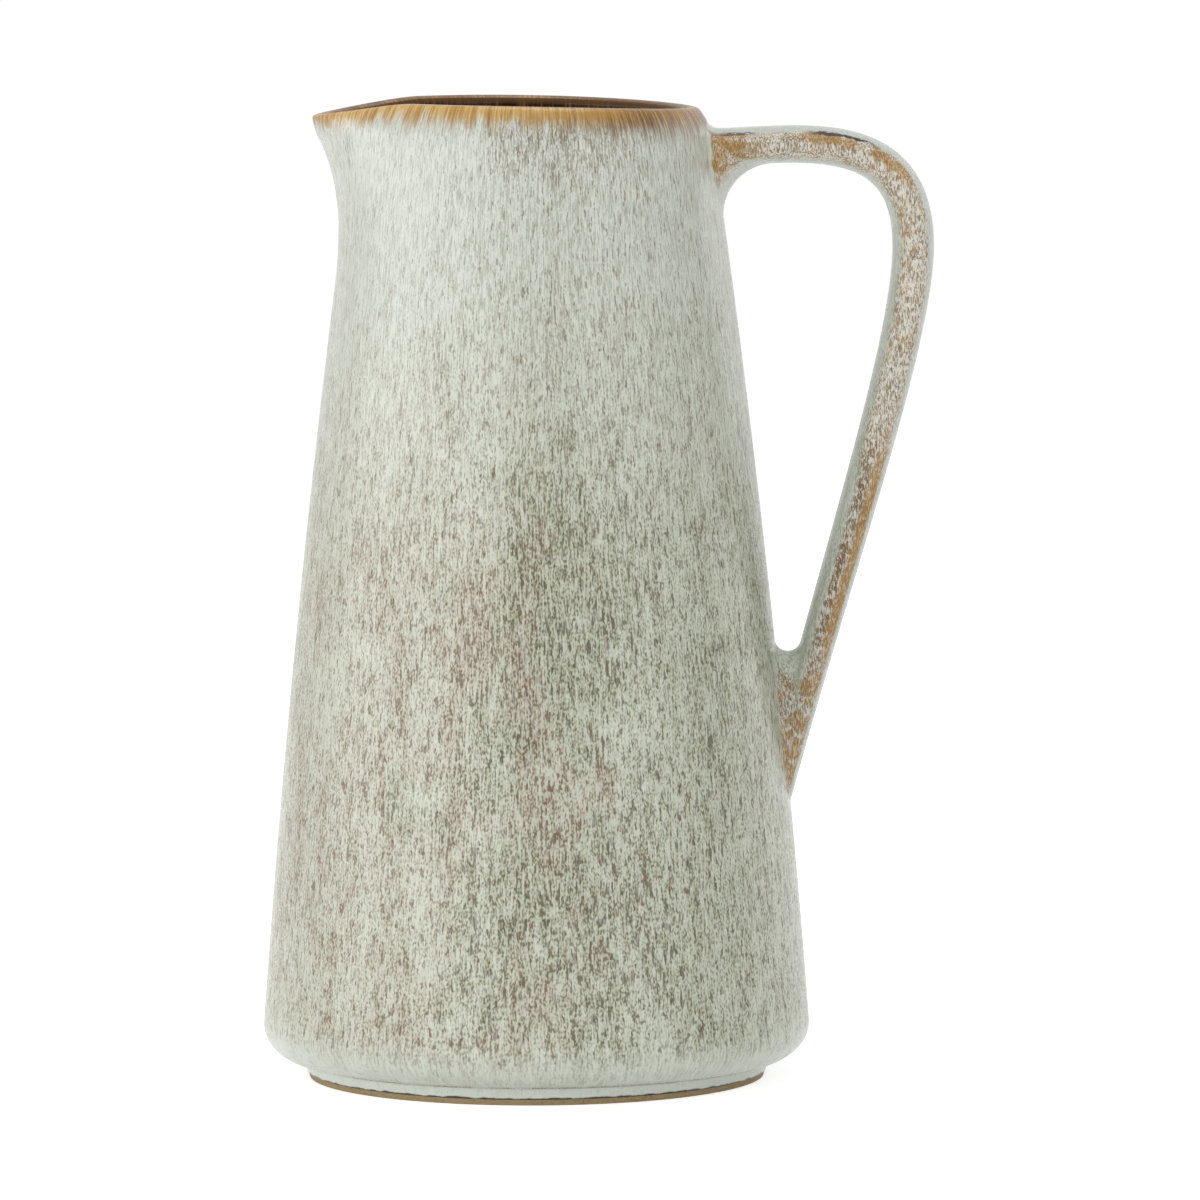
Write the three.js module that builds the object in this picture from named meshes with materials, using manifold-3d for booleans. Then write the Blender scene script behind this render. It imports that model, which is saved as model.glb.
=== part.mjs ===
// Stoneware jug with a pulled spout and a strap handle. Millimetres, +Z up.
// The jug stands on z = 0 with its spout towards -X and its handle towards +X.
// The origin is the middle of its bounding box, on the table.
import * as THREE from "three";
import { mergeVertices } from "three/addons/utils/BufferGeometryUtils.js";
import Module from "manifold-3d";

const wasm = await Module();
wasm.setup();

// Clay body
const LIP_HEIGHT = 249.4; // top of the clay lip
const LIP_RADIUS = 40.8; // middle of the lip's crown
const CROWN_RADIUS = 1.4; // rounding on top of the lip
const CROWN_START = 31; // degrees, where the bevel meets the crown
const CROWN_SEAM = 130; // degrees, where the outer coat gives way to the lining
const BEVEL_HEIGHT = 6.8; // sloping outside of the lip, below the crown
const BEVEL_BULGE = 0.55; // how far its middle stands out
const BEVEL_LIFT = 0.4;
const NECK_RADIUS = 44.7; // outside, where the bevel starts
const BELLY_RADIUS = 69.3; // outside, at its widest
const BELLY_HEIGHT = 13.7; // where the body is widest
const WALL_BOW = 1.9; // swelling of the wall beyond a straight cone
const WALL = 5.2;
const FLOOR = 6;
const FLOOR_ROUND = 9; // inside corner of floor and wall

// Foot
const FOOT_RADIUS = 59.1; // outside, at the crease below the heel
const FOOT_HEIGHT = 5; // height of the crease
const FOOT_TAPER = 0.85; // how much narrower the foot is on the table
const FOOT_RING = 7; // width of the ring that stands on the table
const RECESS = 3; // depth of the underside inside the ring
const RECESS_SLOPE = 1.5;

// Spout and rim
const SPOUT_REACH = 13.9; // how far the rim is drawn out
const SPOUT_DEPTH = 48; // how far below the lip the drawing out starts
const SPOUT_HALF_ANGLE = 44; // degrees, each side of the spout
const SPOUT_CURVE = 2.5; // power by which the drawing out grows upwards
const SPOUT_DIP = 3.5; // how much lower the spout's tip is
const DIP_CURVE = 4; // power by which the dip grows upwards
const RIM_SAG = 2; // how much lower the rim is at the handle
const SAG_CURVE = 2; // power by which the sag grows upwards
const SAG_SPREAD = 2.5; // power by which it grows towards the handle

// Handle: a strap that leaves the neck level, bends and runs down to the wall
const HANDLE_DROP = 10.3; // its middle line below the lip, at the neck
const HANDLE_REACH = 52; // its middle line outside the neck, at the knee
const KNEE_DROP = 36.8; // the knee below the lip
const ARM_LEAD = 20.3; // how long the upper arm keeps level
const KNEE_RISE = 33.9; // roundness above the knee
const KNEE_FALL = 23.5; // roundness below the knee
const LANDING_HEIGHT = 80.2; // where its middle line meets the wall again
const LANDING_LEAN = 15; // degrees from upright
const LANDING_LEAD = 56.5; // how long it keeps that lean
const HANDLE_WIDTH = 18;
const ARM_THICKNESS = 8.2;
const KNEE_THICKNESS = 8.8;
const LANDING_THICKNESS = 6;
const STRAP_SQUARENESS = 2.6; // 2 is an ellipse
const STRAP_TAIL = 15.6; // how far its lower end runs on inside the wall, before it is cut

// Slip that lutes the handle on, and its fillets
const SLIP = 1; // bed of slip between wall and handle
const UPPER_FILLET = 14.5; // under the arm
const LOWER_FILLET = 4.3; // in the narrow corner above the landing
const SIDE_FILLET = 4.5;
const FILLET_SINK = 3; // how far a fillet's edge runs on inside the wall, before it is cut

// Glaze
const GLAZE = 0.6;
const GLAZE_LINE = 1.6; // bare clay below this height
const COAT_GAP = 0.05; // between a coat and the clay it was poured on
const CUT_GAP = 0.3; // between pieces that are cut to each other

// Fineness
const ROUND_STEPS = 40;
const WALL_STEPS = 9;
const WALL_CROWDING = 1.6; // above 1, the wall's steps get shorter towards the neck
const CORNER_STEPS = 4;
const BEVEL_STEPS = 3;
const STRAP_SIDES = 16;
const STRAP_STEPS = 24;
const TAIL_STEPS = 6; // more of them on the bare strap, for its ends inside the wall
const FILLET_STEPS = 4;
const FILLET_HALVINGS = 40; // tries at a fillet's place
const BEND_SAMPLES = 240; // places at which the strap's bend is measured
const TURN_STEP = 8; // degrees of bend that count as much as the next length
const LENGTH_STEP = 14;
const WELD = 1e-4; // corners this close are one
const CORE = 1; // points this close to the axis keep their radius

const footOnTable = FOOT_RADIUS - FOOT_TAPER;
const neckHeight = LIP_HEIGHT - BEVEL_HEIGHT;
const floorHeight = RECESS + FLOOR;
const span = (steps) => Array.from({ length: steps + 1 }, (_, i) => i / steps);

// Middle of the foot's side at a height, which leans out to the crease.
const footRadius = (z) => footOnTable + FOOT_TAPER * (z / FOOT_HEIGHT);

// The wall is one shallow curve from the belly to the neck.
function wallCurve() {
  const low = new THREE.Vector2(BELLY_RADIUS, BELLY_HEIGHT);
  const high = new THREE.Vector2(NECK_RADIUS, neckHeight);
  const run = high.clone().sub(low).normalize();
  const bow = new THREE.Vector2(run.y, -run.x).multiplyScalar(2 * WALL_BOW);
  const middle = low.clone().lerp(high, 0.5).add(bow);
  return new THREE.QuadraticBezierCurve(low, middle, high);
}

// Points of the glazed outside, from the glaze line up to the crown.
function outsideLine() {
  const heel = span(CORNER_STEPS).map((t) => {
    const a = (t * Math.PI) / 2;
    const r = FOOT_RADIUS + (BELLY_RADIUS - FOOT_RADIUS) * Math.sin(a);
    return new THREE.Vector2(r, BELLY_HEIGHT - (BELLY_HEIGHT - FOOT_HEIGHT) * Math.cos(a));
  });
  const wall = wallCurve();
  const rising = span(WALL_STEPS).map((t) => wall.getPoint(1 - (1 - t) ** WALL_CROWDING));
  const crown = span(CORNER_STEPS - 1).map((t) => {
    const a = THREE.MathUtils.degToRad(CROWN_START + (CROWN_SEAM - CROWN_START) * t);
    const z = LIP_HEIGHT - CROWN_RADIUS + CROWN_RADIUS * Math.sin(a);
    return new THREE.Vector2(LIP_RADIUS + CROWN_RADIUS * Math.cos(a), z);
  });
  const neck = rising[rising.length - 1];
  const corner = neck.clone().lerp(crown[0], 0.5).add(new THREE.Vector2(BEVEL_BULGE, BEVEL_LIFT));
  const bevel = new THREE.QuadraticBezierCurve(neck, corner, crown[0]);
  const slope = span(BEVEL_STEPS).slice(1, -1).map((t) => bevel.getPoint(t));
  const start = new THREE.Vector2(footRadius(GLAZE_LINE), GLAZE_LINE);
  return [start, ...heel, ...rising.slice(1), ...slope, ...crown];
}

// Points of the inside, from the crown down to the middle of the floor.
function insideLine() {
  const wall = wallCurve();
  const falling = span(WALL_STEPS).map((t) => {
    const along = 1 - t ** WALL_CROWDING;
    const run = wall.getTangent(along);
    return wall.getPoint(along).add(new THREE.Vector2(-run.y, run.x).multiplyScalar(WALL));
  });
  const edge = new THREE.Vector2(LIP_RADIUS - CROWN_RADIUS, LIP_HEIGHT - CROWN_RADIUS);
  const corner = falling[falling.length - 1].x - FLOOR_ROUND;
  const round = span(CORNER_STEPS).map((t) => {
    const a = (t * Math.PI) / 2;
    const z = floorHeight + FLOOR_ROUND - FLOOR_ROUND * Math.sin(a);
    return new THREE.Vector2(corner + FLOOR_ROUND * Math.cos(a), z);
  });
  const above = falling.filter((p) => p.y > round[0].y + 1);
  return [edge, ...above, ...round, new THREE.Vector2(0, floorHeight)];
}

// A line of points moved sideways to its right, with its corners kept.
function moved(line, distance) {
  const sides = line.slice(1).map((p, i) => {
    const run = p.clone().sub(line[i]).normalize();
    return new THREE.Vector2(run.y, -run.x);
  });
  return line.map((p, i) => {
    const before = sides[Math.max(i - 1, 0)];
    const after = sides[Math.min(i, sides.length - 1)];
    const mean = before.clone().add(after);
    return p.clone().add(mean.multiplyScalar((2 * distance) / mean.lengthSq()));
  });
}

const outside = outsideLine();
const inside = insideLine();

// Both sides of the lip and their skins are moved as one line, so that they meet on the crown.
function skin(distance) {
  const line = moved([...outside, ...inside], distance);
  line[line.length - 1].x = 0;
  return { out: line.slice(0, outside.length), into: line.slice(outside.length - 1) };
}

// The rim's shape: the spout is drawn out towards -X and the rim sags a little at the handle.
function shaped(p) {
  const turn = Math.atan2(p.y, -p.x);
  const near = Math.min(Math.abs(turn) / THREE.MathUtils.degToRad(SPOUT_HALF_ANGLE), 1);
  const lobe = Math.cos((near * Math.PI) / 2) ** 2;
  const rise = Math.max((p.z - LIP_HEIGHT + SPOUT_DEPTH) / SPOUT_DEPTH, 0);
  const radius = Math.hypot(p.x, p.y);
  const grown = radius > CORE ? 1 + (SPOUT_REACH * lobe * rise ** SPOUT_CURVE) / radius : 1;
  const toHandle = ((1 - Math.cos(turn)) / 2) ** SAG_SPREAD;
  const drop = SPOUT_DIP * lobe * rise ** DIP_CURVE + RIM_SAG * toHandle * rise ** SAG_CURVE;
  return new THREE.Vector3(p.x * grown, p.y * grown, p.z - drop);
}

// Geometry with the rim's shape put on it.
function warped(geometry) {
  const place = geometry.attributes.position;
  for (let i = 0; i < place.count; i += 1) {
    const p = shaped(new THREE.Vector3().fromBufferAttribute(place, i));
    place.setXYZ(i, p.x, p.y, p.z);
  }
  return geometry;
}

// Geometry with shared corners and no empty triangles.
function welded(geometry) {
  const bare = new THREE.BufferGeometry();
  bare.setAttribute("position", geometry.attributes.position);
  bare.setIndex(geometry.index);
  const joined = mergeVertices(bare, WELD);
  const kept = [];
  const index = joined.index.array;
  for (let i = 0; i < index.length; i += 3) {
    const [a, b, c] = [index[i], index[i + 1], index[i + 2]];
    if (a !== b && b !== c && c !== a) kept.push(a, b, c);
  }
  joined.setIndex(kept);
  return joined;
}

// A profile turned about Z. Rising and falling lines split their faces alike, so skins lie flat on the clay.
function turned(points) {
  const geometry = new THREE.LatheGeometry(points, ROUND_STEPS).rotateX(Math.PI / 2);
  const faces = [];
  for (let i = 0; i < ROUND_STEPS; i += 1) {
    for (let j = 1; j < points.length; j += 1) {
      const a = i * points.length + j - 1;
      const [b, c, d] = [a + points.length, a + points.length + 1, a + 1];
      if (points[j].y < points[j - 1].y) faces.push(a, b, c, a, c, d);
      else faces.push(a, b, d, c, d, b);
    }
  }
  geometry.setIndex(faces);
  return warped(welded(geometry));
}

function solidOf(geometry) {
  const mesh = new wasm.Mesh({
    numProp: 3,
    vertProperties: new Float32Array(geometry.attributes.position.array),
    triVerts: new Uint32Array(geometry.index.array),
  });
  return new wasm.Manifold(mesh);
}

function geometryOf(solid) {
  const mesh = solid.getMesh();
  const geometry = new THREE.BufferGeometry();
  geometry.setAttribute("position", new THREE.BufferAttribute(new Float32Array(mesh.vertProperties), 3));
  geometry.setIndex(new THREE.BufferAttribute(new Uint32Array(mesh.triVerts), 1));
  return geometry;
}

// Rings of points joined into one closed skin, with a flat fan over each end.
function lofted(rings) {
  const count = rings[0].length;
  const points = rings.flat();
  const faces = [];
  rings.slice(1).forEach((_, k) => {
    for (let i = 0; i < count; i += 1) {
      const next = (i + 1) % count;
      const [a, b] = [k * count + i, k * count + next];
      faces.push(a, a + count, b, b, a + count, b + count);
    }
  });
  [rings[0], rings[rings.length - 1]].forEach((ring, end) => {
    const middle = ring.reduce((sum, p) => sum.add(p), new THREE.Vector3()).divideScalar(count);
    const first = end * (rings.length - 1) * count;
    points.push(middle);
    for (let i = 0; i < count; i += 1) {
      const [a, b] = [first + i, first + ((i + 1) % count)];
      faces.push(points.length - 1, end ? b : a, end ? a : b);
    }
  });
  const geometry = new THREE.BufferGeometry().setFromPoints(points);
  geometry.setIndex(faces);
  return warped(geometry);
}

// Nearest place on the outside, grown by a distance: how far a point is from it and which way.
function fromWall(p, growth) {
  const here = new THREE.Vector2(Math.hypot(p.x, p.y), p.z);
  let best = null;
  for (let i = 1; i < outside.length; i += 1) {
    const run = outside[i].clone().sub(outside[i - 1]);
    const t = here.clone().sub(outside[i - 1]).dot(run) / run.lengthSq();
    const foot = outside[i - 1].clone().addScaledVector(run, Math.min(Math.max(t, 0), 1));
    const side = new THREE.Vector2(run.y, -run.x).normalize();
    const away = here.distanceTo(foot);
    const sign = here.clone().sub(foot).dot(side);
    if (best === null || away < best.away) best = { away, side, sign };
  }
  const round = new THREE.Vector2(p.x, p.y).normalize();
  const normal = new THREE.Vector3(round.x * best.side.x, round.y * best.side.x, best.side.y);
  return { distance: Math.sign(best.sign) * best.away - growth, normal };
}

const wallRadius = (z) => {
  const i = outside.findIndex((p) => p.y > z);
  const t = (z - outside[i - 1].y) / (outside[i].y - outside[i - 1].y);
  return outside[i - 1].clone().lerp(outside[i], t).x;
};

// Middle line of the handle, in the XZ plane, with both ends inside the wall.
function handleLine() {
  const armHeight = LIP_HEIGHT - HANDLE_DROP;
  const lean = THREE.MathUtils.degToRad(LANDING_LEAN);
  const down = new THREE.Vector2(-Math.sin(lean), -Math.cos(lean));
  const inWall = new THREE.Vector2(wallRadius(armHeight) - WALL, armHeight);
  const start = new THREE.Vector2(wallRadius(armHeight), armHeight);
  const knee = new THREE.Vector2(NECK_RADIUS + HANDLE_REACH, LIP_HEIGHT - KNEE_DROP);
  const landing = new THREE.Vector2(wallRadius(LANDING_HEIGHT), LANDING_HEIGHT);
  const line = new THREE.CurvePath();
  const level = start.clone().add(new THREE.Vector2(ARM_LEAD, 0));
  const above = knee.clone().add(new THREE.Vector2(0, KNEE_RISE));
  const below = knee.clone().sub(new THREE.Vector2(0, KNEE_FALL));
  line.add(new THREE.LineCurve(inWall, start));
  line.add(new THREE.CubicBezierCurve(start, level, above, knee));
  const leaning = landing.clone().addScaledVector(down, -LANDING_LEAD);
  line.add(new THREE.CubicBezierCurve(knee, below, leaning, landing));
  line.add(new THREE.LineCurve(landing, landing.clone().addScaledVector(down, STRAP_TAIL)));
  const lengths = line.getCurveLengths();
  return { line, kneeAt: lengths[1] / lengths[3] };
}

const { line: handlePath, kneeAt } = handleLine();

// Half of the strap's thickness at a place along it.
function halfThickness(along) {
  const toKnee = THREE.MathUtils.smoothstep(along, 0, kneeAt);
  const past = Math.max((along - kneeAt) / (1 - kneeAt), 0);
  const swelling = (KNEE_THICKNESS - ARM_THICKNESS) * toKnee;
  const thinning = (KNEE_THICKNESS - LANDING_THICKNESS) * past;
  return (ARM_THICKNESS + swelling - thinning) / 2;
}

// One point of the strap, grown by a distance, and the way its surface faces there.
function strapPoint(along, turn, growth) {
  const middle = handlePath.getPointAt(along);
  const run = handlePath.getTangentAt(along);
  const out = new THREE.Vector3(-run.y, 0, run.x);
  const across = new THREE.Vector3(0, 1, 0);
  const power = 2 / STRAP_SQUARENESS;
  const bend = (v, e) => Math.sign(v) * Math.abs(v) ** e;
  const [c, s] = [Math.cos(turn), Math.sin(turn)];
  const thick = halfThickness(along) + growth;
  const wide = HANDLE_WIDTH / 2 + growth;
  const point = new THREE.Vector3(middle.x, 0, middle.y)
    .addScaledVector(out, thick * bend(c, power))
    .addScaledVector(across, wide * bend(s, power));
  const normal = out.clone().multiplyScalar(bend(c, 2 - power) / thick)
    .addScaledVector(across, bend(s, 2 - power) / wide).normalize();
  return { point, normal, inward: -c };
}

const strapTurns = span(STRAP_SIDES).slice(0, -1).map((t) => (t + 0.5 / STRAP_SIDES) * 2 * Math.PI);

// How far the strap has run and bent at each sample.
const bendSum = [0];
for (let i = 1; i <= BEND_SAMPLES; i += 1) {
  const before = handlePath.getTangentAt((i - 1) / BEND_SAMPLES);
  const after = handlePath.getTangentAt(i / BEND_SAMPLES);
  const turn = THREE.MathUtils.radToDeg(Math.acos(Math.min(before.dot(after), 1)));
  bendSum.push(bendSum[i - 1] + turn / TURN_STEP + handlePath.getLength() / BEND_SAMPLES / LENGTH_STEP);
}

function bendAt(along) {
  const i = Math.min(Math.floor(along * BEND_SAMPLES), BEND_SAMPLES - 1);
  return bendSum[i] + (bendSum[i + 1] - bendSum[i]) * (along * BEND_SAMPLES - i);
}

// Places along the strap from one to another, closer together in its bend.
function places(from, to, steps) {
  return span(steps).map((t) => {
    const want = bendAt(from) + (bendAt(to) - bendAt(from)) * t;
    const i = Math.max(bendSum.findIndex((sum) => sum >= want - 1e-9), 1);
    return (i - 1 + (want - bendSum[i - 1]) / (bendSum[i] - bendSum[i - 1])) / BEND_SAMPLES;
  });
}

// The bare strap, both ends inside the wall.
function strap(growth) {
  const ring = (along) => strapTurns.map((turn) => strapPoint(along, turn, growth).point);
  return lofted(places(0, 1, STRAP_STEPS + TAIL_STEPS).map(ring));
}

// Where a ball rolls in the corner of strap and wall, for one line along the strap.
function fillet(turn, growth, upper) {
  const radiusOf = (inward) => {
    const deep = upper ? UPPER_FILLET : LOWER_FILLET;
    return SIDE_FILLET + (deep - SIDE_FILLET) * Math.max(inward, 0) ** 1.5 - growth;
  };
  const ball = (along) => {
    const { point, normal, inward } = strapPoint(along, turn, growth);
    const radius = radiusOf(inward);
    const centre = point.clone().addScaledVector(normal, radius);
    const wall = fromWall(centre, growth);
    return { along, point, normal, radius, centre, wall, over: wall.distance - radius };
  };
  let [near, far] = upper ? [0, kneeAt] : [1, kneeAt];
  for (let i = 0; i < FILLET_HALVINGS; i += 1) {
    const middle = (near + far) / 2;
    if (ball(middle).over < 0) near = middle;
    else far = middle;
  }
  const found = ball(far);
  const arc = span(FILLET_STEPS).map((t) => {
    const way = found.wall.normal.clone().lerp(found.normal, t).normalize();
    return found.centre.clone().addScaledVector(way, -found.radius);
  });
  const sunk = arc[0].clone().addScaledVector(found.wall.normal, -FILLET_SINK);
  return { along: found.along, points: [sunk, ...arc] };
}

// The strap with its fillets, grown by a distance.
function lutedStrap(growth) {
  const lines = strapTurns.map((turn) => {
    const top = fillet(turn, growth, true);
    const bottom = fillet(turn, growth, false);
    const stops = places(top.along, bottom.along, STRAP_STEPS).slice(1, -1);
    const between = stops.map((along) => strapPoint(along, turn, growth).point);
    return [...top.points, ...between, ...bottom.points.reverse()];
  });
  return lofted(lines[0].map((_, k) => lines.map((points) => points[k])));
}

// The body's outside as a full solid, grown by a distance.
function wallSolid(growth) {
  const points = moved(outside, growth);
  const low = new THREE.Vector2(0, points[0].y);
  const high = new THREE.Vector2(0, points[points.length - 1].y);
  return solidOf(turned([low, ...points, high]));
}

// Clay body: foot ring, heel, wall, lip, inside and floor in one turned piece.
function bodyGeometry() {
  const ringInside = footOnTable - FOOT_RING;
  const underside = [
    new THREE.Vector2(0, RECESS),
    new THREE.Vector2(ringInside - RECESS_SLOPE, RECESS),
    new THREE.Vector2(ringInside, 0),
    new THREE.Vector2(footOnTable, 0),
  ];
  return turned([...underside, ...outside, ...inside]);
}

function outerGlaze() {
  const coat = [...skin(COAT_GAP + GLAZE).out, ...skin(COAT_GAP).out.reverse()];
  return solidOf(turned([...coat, coat[0]]));
}

function linerGlaze() {
  return turned([...skin(COAT_GAP).into.reverse(), ...skin(COAT_GAP + GLAZE).into]);
}

function baseGlaze() {
  const radius = footOnTable - FOOT_RING - RECESS_SLOPE - CUT_GAP;
  const top = RECESS - COAT_GAP;
  const low = top - GLAZE;
  const corners = [[0, low], [radius, low], [radius, top], [0, top]];
  return turned(corners.map(([r, z]) => new THREE.Vector2(r, z)));
}

const slipSeat = wallSolid(CUT_GAP);
const handleSeat = wallSolid(CUT_GAP + SLIP);
const luted = solidOf(lutedStrap(0));
const handleSolid = solidOf(strap(0)).subtract(wallSolid(CUT_GAP + SLIP + CUT_GAP));
const handleRoom = solidOf(strap(CUT_GAP)).subtract(handleSeat);
const slipReach = wallSolid(UPPER_FILLET + SLIP);
const slip = luted.intersect(slipReach).subtract(slipSeat).subtract(handleRoom);
const betweenJoints = (LIP_HEIGHT - HANDLE_DROP + LANDING_HEIGHT) / 2;
const wideOver = 4 * (NECK_RADIUS + HANDLE_REACH);
const upperBox = new THREE.BoxGeometry(wideOver, wideOver, LIP_HEIGHT);
const upperHalf = solidOf(welded(upperBox.translate(0, 0, betweenJoints + LIP_HEIGHT / 2)));
const lutedRoom = solidOf(lutedStrap(CUT_GAP));
const coatedWall = wallSolid(COAT_GAP + GLAZE + CUT_GAP);
const handleCoat = solidOf(lutedStrap(CUT_GAP + GLAZE)).subtract(lutedRoom).subtract(coatedWall);

const clay = { color: 0xb89a6c, roughness: 0.9 };
const pale = { color: 0xc9cabd, roughness: 0.3 };
const brown = { color: 0x6b4423, roughness: 0.3 };
const pieces = [
  ["clay_body", bodyGeometry(), clay],
  ["handle", geometryOf(handleSolid), clay],
  ["upper_handle_joint", geometryOf(slip.intersect(upperHalf)), clay],
  ["lower_handle_joint", geometryOf(slip.subtract(upperHalf)), clay],
  ["outer_glaze", geometryOf(outerGlaze().subtract(lutedRoom)), pale],
  ["liner_glaze", linerGlaze(), brown],
  ["handle_glaze", geometryOf(handleCoat), pale],
  ["base_glaze", baseGlaze(), pale],
];

const jug = new THREE.Group();
jug.name = "stoneware_jug";
for (const [name, geometry, look] of pieces) {
  const mesh = new THREE.Mesh(geometry, new THREE.MeshStandardMaterial(look));
  mesh.name = name;
  jug.add(mesh);
}

const box = new THREE.Box3().setFromObject(jug);
for (const mesh of jug.children) mesh.geometry.translate(-(box.min.x + box.max.x) / 2, 0, 0);

export default jug;
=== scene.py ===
"""Stoneware jug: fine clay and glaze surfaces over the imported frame, in a plain pale studio."""
from math import comb, pi, radians

import bpy
import numpy as np
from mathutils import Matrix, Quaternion, Vector


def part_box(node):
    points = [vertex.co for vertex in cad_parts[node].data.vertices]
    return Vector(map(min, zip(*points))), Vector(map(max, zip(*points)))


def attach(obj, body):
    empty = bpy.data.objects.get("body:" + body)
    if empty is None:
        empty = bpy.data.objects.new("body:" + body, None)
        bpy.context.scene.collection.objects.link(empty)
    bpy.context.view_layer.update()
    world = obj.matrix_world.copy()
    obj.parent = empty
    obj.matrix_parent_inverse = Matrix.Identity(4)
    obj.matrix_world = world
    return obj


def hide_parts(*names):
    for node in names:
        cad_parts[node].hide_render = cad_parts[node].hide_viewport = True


bl_info = {
    "name": "Stoneware Jug",
    "version": (1, 0, 0),
    "blender": (4, 5, 0),
    "location": "View3D > Sidebar > Jug",
    "description": "Makes a glazed stoneware jug with a pulled spout and a strap handle",
    "category": "Add Mesh",
}

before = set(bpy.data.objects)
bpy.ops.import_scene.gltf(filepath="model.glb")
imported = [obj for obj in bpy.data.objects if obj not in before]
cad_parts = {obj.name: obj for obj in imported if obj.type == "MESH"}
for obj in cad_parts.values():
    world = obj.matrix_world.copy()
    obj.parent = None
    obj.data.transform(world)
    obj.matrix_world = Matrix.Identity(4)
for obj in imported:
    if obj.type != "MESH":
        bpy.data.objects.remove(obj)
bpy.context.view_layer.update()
CLAY_LOW, CLAY_HIGH = (np.array(corner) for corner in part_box("clay_body"))
COAT_HIGH = np.array(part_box("outer_glaze")[1])
AXIS = np.array([(CLAY_LOW[0] + CLAY_HIGH[0]) / 2, 0, 0])
BODY = "root"

# Powers by which the spout, its dip and the rim's sag grow upwards, and the sag towards the handle
SPOUT_CURVE = 2.5
DIP_CURVE = 4
SAG_CURVE = 2
SAG_SPREAD = 2.5

# Power by which the handle's fillets grow from its sides to its inner face, and the rounds of halving
FILLET_CURVE = 1.5
HALVINGS = 40

# Thickness of a coat, and how deep the handle's coat dips into the body's where its fillets run out
GLAZE = 0.0006
COAT_LAP = 0.00004

# Lower edge of the outer coat: its share of the full thickness, and the run over which it thickens
EDGE_SHARE = 0.35
EDGE_RUN = 0.0012

# Milky pools round the handle's joints: their width, how they fade, and how far to each side they reach
POOL_WIDTH = 0.005
POOL_FADE = 1.5
POOL_REACH = 0.03

# Radius of the circle on which the glaze's streaks are laid out
STREAK_RADIUS = 0.055

# Points of a rounded corner, of the wall's curve and of each of the handle's two curves
CORNER_POINTS = 60
WALL_POINTS = 300
PATH_POINTS = 500

# Even steps of the profile and of the handle's path, and a clearance from the axis and the floor's round
PROFILE_STEP = 0.0002
PATH_STEP = 0.00025
CLEARANCE = 0.001

# Columns round the body, rows of the outer coat to each row of its hidden back, and the sharpest edge
# that is still shaded smooth
COLUMNS = 256
BACK_STRIDE = 3
SMOOTH_EDGE = radians(50)

# Rows of the base coat's flat and of its rounded edge
BASE_ROWS = 14
BASE_EDGE_ROWS = 9

# The studio: half the floor's width, its tone as lit and as seen, and the sky's strength as light
FLOOR_HALF = 20.0
FLOOR_LIT = 0.86
FLOOR_SEEN = 0.68
SKY_LIGHT = 0.38

# Soft lights: name, place, width, height and power; all face the middle of the jug
LIGHTS = (
    ("left_panel", (-1.5, -0.8, 0.3), 3.06, 0.7, 18),
    ("right_fill", (1.1, -1.05, 0.3), 1.2, 0.8, 3.6),
    ("right_back", (1.31, 0.92, 0.4), 1.0, 1.4, 2.6),
    ("low_strip", (0.2, -1.2, 0.07), 2.4, 0.12, 2.4),
    ("top_softbox", (0.1, 0.1, 1.7), 1.0, 1.0, 8),
)
LIGHT_AIM = Vector((0, 0, 0.125))

# The camera: lens and sensor in millimetres, its reach, its place, what it looks at, and a slight roll
LENS = 286.87
SENSOR = 36
CAMERA_REACH = 100
CAMERA_PLACE = Vector((0.00065, -2.435, 0.339))
CAMERA_AIM = Vector((0.00065, 0, 0.12205))
CAMERA_ROLL = -0.0032


def linear(red, green, blue):
    """A colour as a screen shows it, 0 to 255, turned into the linear values that shaders use."""
    shown = np.array([red, green, blue]) / 255
    return tuple(np.where(shown <= 0.04045, shown / 12.92, ((shown + 0.055) / 1.055) ** 2.4))


def length(name, description, default):
    """A size in metres."""
    return bpy.props.FloatProperty(
        name=name, description=description, default=float(default), unit="LENGTH", precision=5)


def angle(name, description, degrees):
    """An angle, given in degrees."""
    return bpy.props.FloatProperty(
        name=name, description=description, default=radians(degrees), subtype="ANGLE")


def colour(name, description, shown):
    """A colour, given as a screen shows it."""
    return bpy.props.FloatVectorProperty(
        name=name, description=description, default=linear(*shown), subtype="COLOR", size=3, min=0, max=1)


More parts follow.
